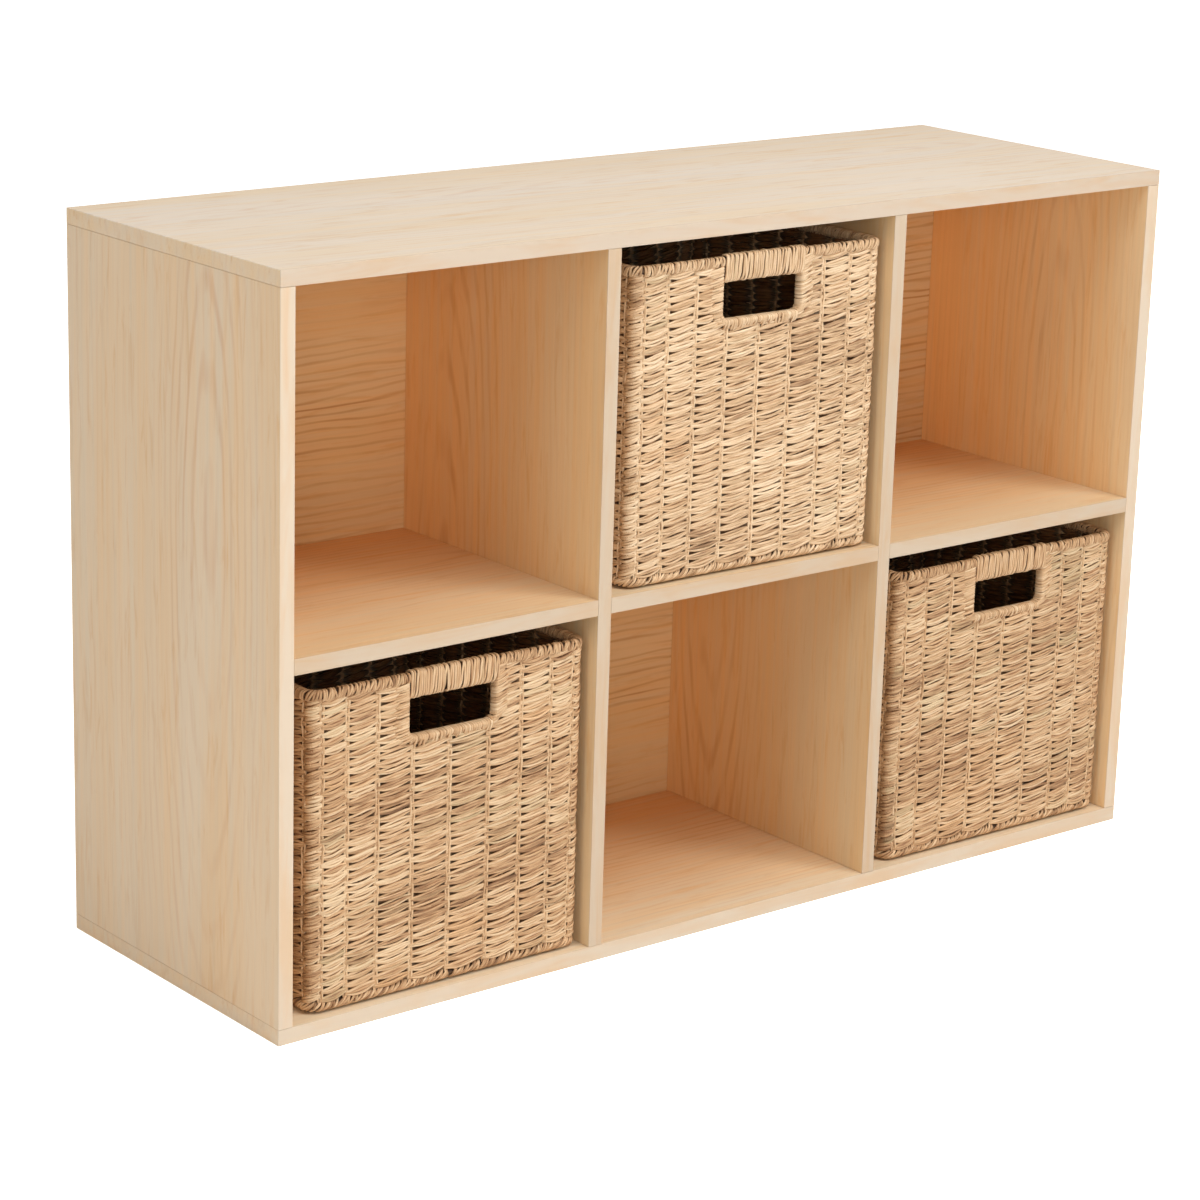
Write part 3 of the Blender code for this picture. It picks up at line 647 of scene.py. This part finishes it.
class Graph:
    """A material's nodes, with short calls for the ones used here."""

    def __init__(self, name):
        self.material = bpy.data.materials.new(name)
        self.material.use_nodes = True
        self.tree = self.material.node_tree
        self.shader = self.tree.nodes["Principled BSDF"]

    def node(self, kind, inputs, **settings):
        node = self.tree.nodes.new(kind)
        for key, value in settings.items():
            setattr(node, key, value)
        for key, value in inputs.items():
            self.feed(node.inputs[key], value)
        return node

    def feed(self, socket, value):
        if isinstance(value, bpy.types.NodeSocket):
            self.tree.links.new(value, socket)
        else:
            socket.default_value = value

    def maths(self, operation, first, second=0.0):
        return self.node("ShaderNodeMath", {0: first, 1: second}, operation=operation).outputs[0]

    def mix(self, factor, first, second, blend="MIX"):
        node = self.node(
            "ShaderNodeMix", {0: factor, 6: first, 7: second}, data_type="RGBA", blend_type=blend)
        return node.outputs[2]

    def noise(self, vector, scale, detail=3.0, roughness=0.55, distortion=0.0):
        node = self.node("ShaderNodeTexNoise", {
            "Vector": vector, "Scale": scale, "Detail": detail, "Roughness": roughness,
            "Distortion": distortion})
        return node.outputs["Fac"]

    def stretched(self, vector, scale, offset=(0.0, 0.0, 0.0)):
        return self.node(
            "ShaderNodeMapping", {"Vector": vector, "Location": offset, "Scale": scale}).outputs[0]

    def span(self, value, low, high, out_low=0.0, out_high=1.0):
        node = self.node("ShaderNodeMapRange", {
            "Value": value, "From Min": low, "From Max": high, "To Min": out_low, "To Max": out_high})
        return node.outputs[0]

    def ramp(self, factor, stops):
        node = self.node("ShaderNodeValToRGB", {"Fac": factor})
        elements = node.color_ramp.elements
        while len(elements) < len(stops):
            elements.new(0.5)
        for element, (position, colour) in zip(elements, stops):
            element.position = position
            element.color = (*colour, 1.0)
        return node.outputs["Color"]

    def bump(self, height, distance, strength=1.0):
        node = self.node("ShaderNodeBump", {"Height": height, "Distance": distance, "Strength": strength})
        self.feed(self.shader.inputs["Normal"], node.outputs["Normal"])

    def finish(self, colour, roughness):
        self.feed(self.shader.inputs["Base Color"], colour)
        self.feed(self.shader.inputs["Roughness"], roughness)
        return self.material


def tinted(graph, colour, amount):
    """The colour made lighter or darker by an amount near 1."""
    grey = graph.node("ShaderNodeCombineXYZ", {0: amount, 1: amount, 2: amount}).outputs[0]
    return graph.mix(1.0, colour, grey, "MULTIPLY")


def lit_outside_mask(graph, places):
    """1 on the unit's outside faces, and behind its back panels, and 0 in its cells, which get painted shade
    colours instead of the paler outside colour.
    """
    low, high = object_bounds()
    back_low, back_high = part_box("back_panel_left")
    mask = graph.maths("GREATER_THAN", graph.maths("ABSOLUTE", places[0]), high[0] - BOARD_BEVEL)
    tests = (
        ("LESS_THAN", places[2], low[2] + BOARD_BEVEL),
        ("GREATER_THAN", places[1], (back_low[1] + back_high[1]) / 2))
    for test, place, limit in tests:
        mask = graph.maths("MAXIMUM", mask, graph.maths(test, place, limit))
    return mask


def board_material(node, axes, seed, look):
    """Pale wood. axes gives the axes 0, 1 or 2 along the grain, across it and through the board."""
    graph = Graph(f"wood_{node}")
    low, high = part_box(node)
    middle = [(low[axis] + high[axis]) / 2 for axis in axes]
    half = [(high[axis] - low[axis]) / 2 for axis in axes]
    chance = np.random.default_rng(seed)
    coordinates = graph.node("ShaderNodeTexCoord", {}).outputs["Object"]
    places = graph.node("ShaderNodeSeparateXYZ", {0: coordinates}).outputs
    grain, across, through = (places[axis] for axis in axes)
    placed = graph.node("ShaderNodeCombineXYZ", {0: grain, 1: across, 2: through}).outputs[0]
    offset = tuple(chance.uniform(-5, 5, 3))

    drift = graph.noise(graph.stretched(placed, (1.3, 15.0, 5.0), offset), 1.0, 3.0, 0.5, 0.5)
    streaks = graph.noise(graph.stretched(placed, (2.2, 110.0, 60.0), offset), 1.0, 3.0, 0.6)
    fibres = graph.noise(graph.stretched(placed, (7.0, 620.0, 620.0), offset), 1.0, 2.0, 0.6)
    pores = graph.noise(graph.stretched(placed, (24.0, 900.0, 900.0), offset), 1.0, 1.0)
    patch = graph.noise(graph.stretched(placed, (2.5, 11.0, 4.0), offset), 1.0, 2.0)
    uneven = graph.noise(graph.stretched(placed, (8.0, 75.0, 20.0), offset), 1.0, 2.0)
    wisps = graph.noise(graph.stretched(placed, (9.0, 30.0, 70.0), offset), 1.0, 3.0, 0.6, 0.6)
    flecks = graph.noise(graph.stretched(placed, (16.0, 150.0, 60.0), offset), 1.0, 3.0, 0.6, 0.8)

    stretch = (look["stretch"], 1.0, 0.6)
    heart = (middle[0] + look["along"] * half[0], middle[1] + look["heart"] * half[1], middle[2] + 0.035)
    centre = tuple(-place * scale for place, scale in zip(heart, stretch))
    arches = graph.node("ShaderNodeTexWave", {
        "Vector": graph.stretched(placed, stretch, centre), "Scale": look["rings"],
        "Distortion": look["wander"], "Detail": 3.0, "Detail Scale": 0.45, "Detail Roughness": 0.6},
        wave_type="RINGS", rings_direction="SPHERICAL").outputs["Fac"]
    lines = graph.maths("MULTIPLY", graph.span(arches, 0.64, 1.0), graph.span(patch, 0.38, 0.58))
    lines = graph.maths("MULTIPLY", lines, graph.span(uneven, 0.34, 0.62, 0.15, 1.35))
    aside = graph.maths("ABSOLUTE", graph.maths("SUBTRACT", across, heart[1]))
    lines = graph.maths("MULTIPLY", lines, graph.span(aside, 0.03, 0.09, 1.0, look["plain"]))
    dashes = graph.span(pores, 0.70, 0.80)

    # painted shade: the cells' faces turn darker and redder from front to rear, as light falls off deep in
    # the cells
    depth = graph.span(places[1], look["front"], look["rear"])
    colour = graph.mix(depth, (*look["fore"], 1.0), (*look["shaded_aft"], 1.0))
    # painted light: outside faces get a paler colour than the cells, whose colours carry painted shade
    colour = graph.mix(lit_outside_mask(graph, places), colour, (*look["outside"], 1.0))
    # painted light: the top face is paler than the rest, as if it caught the most light
    top = graph.maths("GREATER_THAN", places[2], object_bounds()[1][2] - BOARD_BEVEL)
    colour = graph.mix(top, colour, (*look["lit_top"], 1.0))
    mixed = graph.maths("ADD", graph.maths("MULTIPLY", drift, 0.5), graph.maths("MULTIPLY", streaks, 0.5))
    warmer = graph.mix(1.0, colour, (*look["warm"], 1.0), "MULTIPLY")
    colour = graph.mix(graph.span(mixed, 0.41, 0.58), colour, warmer)
    flecked = graph.mix(1.0, colour, FLECK, "MULTIPLY")
    colour = graph.mix(graph.span(flecks, 0.54, 0.70, 0.0, look["flecks"]), colour, flecked)
    colour = tinted(graph, colour, graph.span(streaks, 0.3, 0.7, 1 - look["streak"], 1 + look["streak"]))
    colour = tinted(graph, colour, graph.span(fibres, 0.3, 0.7, 0.975, 1.025))
    colour = graph.mix(
        graph.maths("MULTIPLY", lines, look["line_strength"]), colour, (*look["line"], 1.0))
    colour = graph.mix(graph.maths("MULTIPLY", dashes, 0.25), colour, (*look["line"], 1.0))
    band = graph.maths("LESS_THAN", places[1], look["front"] + EDGE_BAND)
    warm_band = tuple(level * share for level, share in zip(look["band"], (1.0, 0.89, 0.77)))
    banding = graph.mix(graph.span(wisps, 0.42, 0.66), (*look["band"], 1.0), (*warm_band, 1.0))
    colour = graph.mix(band, colour, banding)
    roughness = graph.span(fibres, 0.3, 0.7, 0.48, 0.60)
    ridges = graph.maths("MULTIPLY", fibres, 0.6)
    graph.bump(graph.maths("SUBTRACT", ridges, graph.maths("MULTIPLY", dashes, 0.8)), 0.00010, 0.5)
    return graph.finish(colour, roughness)


def seagrass_material(name, straw, tan, orange, olive, variety):
    """Dried leaf strands. Each carries its own tone and hue, and fine fibres run along it."""
    graph = Graph(name)
    leaf = graph.node("ShaderNodeAttribute", {}, attribute_name="leaf").outputs["Vector"]
    fibre_and_shade_depth = graph.node("ShaderNodeAttribute", {}, attribute_name="fibre_and_shade_depth").outputs["Vector"]
    tone, hue, own = graph.node("ShaderNodeSeparateXYZ", {0: leaf}).outputs
    across, depth = graph.node("ShaderNodeSeparateXYZ", {0: fibre_and_shade_depth}).outputs[1:]
    streaks = graph.noise(graph.stretched(fibre_and_shade_depth, (40.0, 2600.0, 0.0)), 1.0, 2.0, 0.6)
    blotches = graph.noise(graph.stretched(fibre_and_shade_depth, (55.0, 300.0, 0.0)), 1.0, 2.0)
    value = graph.maths("ADD", graph.maths("MULTIPLY", tone, 0.16 * variety), 0.5)
    value = graph.maths("ADD", value, graph.span(streaks, 0.3, 0.7, -0.17, 0.17))
    value = graph.maths("ADD", value, graph.span(blotches, 0.3, 0.7, -0.16, 0.16))
    darkest = (tan[0] * 0.30, tan[1] * 0.24, tan[2] * 0.20)
    dark = (tan[0] * 0.62, tan[1] * 0.54, tan[2] * 0.48)
    colour = graph.ramp(value, ((0.0, darkest), (0.24, dark), (0.47, tan), (0.76, straw)))
    warm = graph.span(hue, 0.35, 1.6, 0.0, 0.6 * variety)
    cool = graph.span(hue, -0.5, -1.8, 0.0, 0.6 * variety)
    shade = graph.span(value, 0.1, 0.8, 0.45, 1.15)
    colour = graph.mix(warm, colour, tinted(graph, (*orange, 1.0), shade))
    colour = graph.mix(cool, colour, tinted(graph, (*olive, 1.0), shade))
    # painted shade: strand parts behind the wall's middle darken to a fifth, the inside faces to between a
    # quarter and a half, and the inside turns redder, as if in shade
    painted_recess_shade = graph.span(depth, -0.50, 0.05, 0.20, 1.0)
    inside = graph.span(depth, -0.6, -1.0, 0.28, 0.48)
    colour = tinted(graph, colour, graph.maths("MAXIMUM", painted_recess_shade, inside))
    painted_inside_tint = graph.mix(1.0, colour, (1.0, 0.74, 0.56, 1.0), "MULTIPLY")
    colour = graph.mix(graph.span(depth, -0.5, -0.9), colour, painted_inside_tint)
    # painted shade: darker along each strand's edges, where neighbouring strands meet
    painted_edge_shade = graph.span(graph.maths("ABSOLUTE", across), 0.0007, 0.0014)
    colour = graph.mix(painted_edge_shade, colour, graph.mix(1.0, colour, (0.62, 0.48, 0.36, 1.0), "MULTIPLY"))
    graph.bump(graph.maths("ADD", streaks, graph.maths("MULTIPLY", blotches, 0.5)), 0.00035, 0.6)
    rough = graph.maths("ADD", streaks, graph.maths("MULTIPLY", own, 0.3))
    return graph.finish(colour, graph.span(rough, 0.3, 0.9, 0.5, 0.78))


def metal_material(name, colour, scale, low, high):
    """Cast or plated metal with a fine uneven surface."""
    graph = Graph(name)
    coordinates = graph.node("ShaderNodeTexCoord", {}).outputs["Object"]
    grains = graph.noise(coordinates, scale, 4.0, 0.6)
    scratches = graph.noise(graph.stretched(coordinates, (900.0, 900.0, 4000.0)), 1.0, 2.0)
    shade = graph.span(grains, 0.3, 0.7, 0.82, 1.08)
    graph.shader.inputs["Metallic"].default_value = 1.0
    graph.bump(graph.maths("ADD", grains, graph.maths("MULTIPLY", scratches, 0.4)), 0.00008, 0.6)
    return graph.finish(
        tinted(graph, (*colour, 1.0), shade), graph.span(scratches, 0.3, 0.7, low, high))


def dowel_material():
    """Turned beech with its short dark flecks."""
    graph = Graph("beech_dowel")
    coordinates = graph.node("ShaderNodeTexCoord", {}).outputs["Object"]
    fibres = graph.noise(graph.stretched(coordinates, (500.0, 500.0, 500.0)), 1.0, 3.0)
    flecks = graph.span(graph.noise(coordinates, 1900.0, 1.0), 0.62, 0.7)
    colour = graph.ramp(fibres, ((0.3, (0.66, 0.46, 0.27)), (0.7, (0.50, 0.31, 0.16))))
    colour = graph.mix(graph.maths("MULTIPLY", flecks, 0.5), colour, (0.26, 0.13, 0.06, 1.0))
    graph.bump(fibres, 0.0001, 0.5)
    return graph.finish(colour, graph.span(fibres, 0.3, 0.7, 0.55, 0.75))


# Boards and fittings


def dress(node, material):
    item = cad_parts[node]
    for slot in item.material_slots:
        slot.material = material


def dress_boards():
    """Gives each board its look.

    stretch, rings, wander, heart and along shape the growth rings, and plain is what is left of their lines
    away from the heart. fore and aft are the colours at the front and rear of the cells, the rear's darker
    and redder colour being painted shade. outside and crown are those of the outside faces and the top,
    painted paler than the cells as painted light. warm is the tint of the broad streaks, and band the front
    edge's.
    The dividers' darker colours are painted shade.
    """
    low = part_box("top_panel")[0]
    floor_look = {
        "front": low[1], "rear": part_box("back_panel_left")[0][1],
        "stretch": 0.12, "rings": 48.0, "wander": 6.0, "heart": 0.3, "along": 0.2,
        "streak": 0.026, "plain": 0.6, "flecks": 0.5, "line_strength": 0.30, "line": (0.58, 0.25, 0.09),
        "fore": (0.725, 0.565, 0.37), "shaded_aft": (0.80, 0.455, 0.215), "outside": (0.76, 0.585, 0.405),
        "lit_top": (0.79, 0.665, 0.545), "warm": (1.0, 0.91, 0.79), "band": (0.64, 0.505, 0.37),
    }
    wall_look = dict(
        floor_look, fore=(0.79, 0.57, 0.325), shaded_aft=(0.90, 0.545, 0.245), streak=0.030, heart=0.40,
        along=-0.15, line_strength=0.42, rings=42.0, stretch=0.16, plain=0.30)
    # painted shade: the dividers' faces are darker than the side panels', as if lit less
    shaded_divider_look = dict(wall_look, fore=(0.70, 0.525, 0.315), shaded_aft=(0.81, 0.50, 0.235))
    side_look = dict(
        wall_look, fore=(0.83, 0.60, 0.345), shaded_aft=(0.94, 0.575, 0.26), band=(0.75, 0.61, 0.465), heart=-0.35,
        along=0.25, line_strength=0.26)
    base_look = dict(floor_look, fore=(0.80, 0.65, 0.46), band=(0.72, 0.59, 0.45))
    top_look = dict(
        base_look, warm=(1.0, 0.935, 0.82), band=(0.665, 0.54, 0.42), line_strength=0.14, streak=0.022,
        flecks=0.55)
    back_look = dict(
        floor_look, rings=42.0, wander=14.0, stretch=0.17, heart=1.2, along=0.0, line_strength=0.60,
        plain=1.0, line=(0.48, 0.18, 0.05), fore=(0.78, 0.52, 0.265), shaded_aft=(0.78, 0.52, 0.265))
    boards = [("top_panel", (0, 1, 2), top_look), ("bottom_panel", (0, 1, 2), base_look)]
    boards += [(f"shelf_{place}", (0, 1, 2), floor_look) for place in ("left", "middle", "right")]
    boards += [(f"side_panel_{place}", (2, 1, 0), side_look) for place in ("left", "right")]
    boards += [(f"divider_{place}", (2, 1, 0), shaded_divider_look) for place in ("left", "right")]
    boards += [(f"back_panel_{place}", (0, 2, 1), back_look) for place in ("left", "middle", "right")]
    for seed, (node, axes, look) in enumerate(boards, 1):
        dress(node, board_material(node, axes, seed, look))
        if look is not back_look:
            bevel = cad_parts[node].modifiers.new("eased_edges", "BEVEL")
            bevel.width = BOARD_BEVEL
            bevel.segments = 2
            bevel.limit_method = "ANGLE"
            bevel.angle_limit = math.radians(60)


def dress_fittings():
    zinc = metal_material("zinc_casting", (0.56, 0.57, 0.59), 700.0, 0.32, 0.5)
    steel = metal_material("plated_steel", (0.66, 0.62, 0.50), 900.0, 0.22, 0.4)
    wire = metal_material("rim_wire", (0.20, 0.18, 0.16), 800.0, 0.4, 0.6)
    beech = dowel_material()
    kinds = (
        ("_dowel_", beech), ("cam_disc", zinc), ("cam_bolt", steel), ("_screw_", steel), ("_rim_wire", wire))
    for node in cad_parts:
        for part, material in kinds:
            if part in node:
                dress(node, material)


def make_baskets():
    straw, tan = (0.84, 0.62, 0.39), (0.65, 0.40, 0.21)
    orange, olive = (0.72, 0.40, 0.18), (0.50, 0.42, 0.23)
    looks = {
        "upper_middle": ((0.93, 0.72, 0.49), (0.74, 0.50, 0.29), 0.85),
        "lower_left": (straw, tan, 1.1),
        "lower_right": (straw, tan, 0.9),
    }
    for seed, name in enumerate(BASKETS, 5):
        light, middle, variety = looks[name]
        materials = {
            "seagrass": seagrass_material(f"seagrass_{name}", light, middle, orange, olive, variety),
            "wrapping": seagrass_material(f"wrapping_{name}", light, middle, orange, olive, variety * 0.8),
        }
        weave_basket(Basket(name, seed), materials)


# Floor, light and camera


def make_stage():
    """A white floor just under the unit."""
    signs = ((-1, -1), (1, -1), (1, 1), (-1, 1))
    mesh = bpy.data.meshes.new("floor")
    corners = [(x * FLOOR_HALF, y * FLOOR_HALF, -FLOOR_DROP) for x, y in signs]
    mesh.from_pydata(corners, [], [(0, 1, 2, 3)])
    floor = bpy.data.objects.new("floor", mesh)
    bpy.context.scene.collection.objects.link(floor)
    graph = Graph("floor")
    seen = graph.node("ShaderNodeLightPath", {}).outputs["Is Camera Ray"]
    graph.shader.inputs["Emission Color"].default_value = (1.0, 1.0, 1.0, 1.0)
    graph.feed(graph.shader.inputs["Emission Strength"], graph.maths("MULTIPLY", seen, FLOOR_GLOW))
    mesh.materials.append(graph.finish((0.93, 0.93, 0.93, 1.0), 0.9))
    floor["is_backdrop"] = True


def add_light(name, place, aim, size, power, colour):
    """A round area light, with its size in metres and its power in watts."""
    lamp = bpy.data.lights.new(name, "AREA")
    lamp.shape = "DISK"
    lamp.size = size
    lamp.energy = power
    lamp.color = colour
    item = bpy.data.objects.new(name, lamp)
    bpy.context.scene.collection.objects.link(item)
    item.location = place
    item.rotation_euler = (Vector(aim) - Vector(place)).to_track_quat("-Z", "Y").to_euler()


def make_lights():
    """A white studio whose walls look brighter than the light they give."""
    world = bpy.data.worlds.new("studio")
    bpy.context.scene.world = world
    world.use_nodes = True
    tree = world.node_tree
    background = tree.nodes["Background"]
    background.inputs["Color"].default_value = (1.0, 1.0, 1.0, 1.0)
    seen = tree.nodes.new("ShaderNodeLightPath").outputs["Is Camera Ray"]
    strength = tree.nodes.new("ShaderNodeMapRange")
    strength.inputs["To Min"].default_value = STUDIO_LIGHT
    tree.links.new(seen, strength.inputs["Value"])
    tree.links.new(strength.outputs[0], background.inputs["Strength"])
    middle = (0.0, 0.0, 0.3)
    white, cool, pale, warm = (1.0, 0.99, 0.97), (0.96, 0.99, 1.0), (0.98, 0.99, 1.0), (1.0, 0.94, 0.86)
    add_light("key", (1.6, -2.5, 2.5), middle, 1.4, 46.0, white)
    add_light("above", (0.0, -1.3, 3.0), middle, 1.6, 40.0, cool)
    add_light("overhead", (0.2, 0.2, 3.2), middle, 2.0, 19.0, cool)
    add_light("side", (-3.0, -0.6, 1.5), middle, 1.4, 24.0, cool)
    add_light("fill", (-1.8, -2.7, 1.0), middle, 1.4, 23.0, warm)
    add_light("right", (3.0, 0.5, 0.5), middle, 0.8, 11.0, pale)
    add_light("rear", (-0.5, 3.0, 0.5), middle, 0.8, 12.0, pale)
    bpy.context.scene.view_settings.view_transform = "Standard"


def make_camera():
    lens = bpy.data.cameras.new("camera")
    lens.lens = CAMERA_LENS
    lens.sensor_width = 36.0
    camera = bpy.data.objects.new("camera", lens)
    bpy.context.scene.collection.objects.link(camera)
    camera.location = CAMERA_PLACE
    look = (Vector(CAMERA_AIM) - Vector(CAMERA_PLACE)).to_track_quat("-Z", "Y").to_matrix()
    camera.rotation_euler = (look @ Matrix.Rotation(CAMERA_ROLL, 3, "Z")).to_euler()
    bpy.context.scene.camera = camera


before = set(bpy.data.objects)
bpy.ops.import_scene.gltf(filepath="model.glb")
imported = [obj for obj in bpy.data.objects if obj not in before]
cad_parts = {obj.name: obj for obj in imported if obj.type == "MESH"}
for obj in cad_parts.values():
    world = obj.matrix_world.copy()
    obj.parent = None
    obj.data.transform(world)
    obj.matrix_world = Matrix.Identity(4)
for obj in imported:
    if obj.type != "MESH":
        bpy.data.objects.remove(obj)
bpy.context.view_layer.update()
make_camera()
make_stage()
make_lights()
dress_boards()
dress_fittings()
make_baskets()
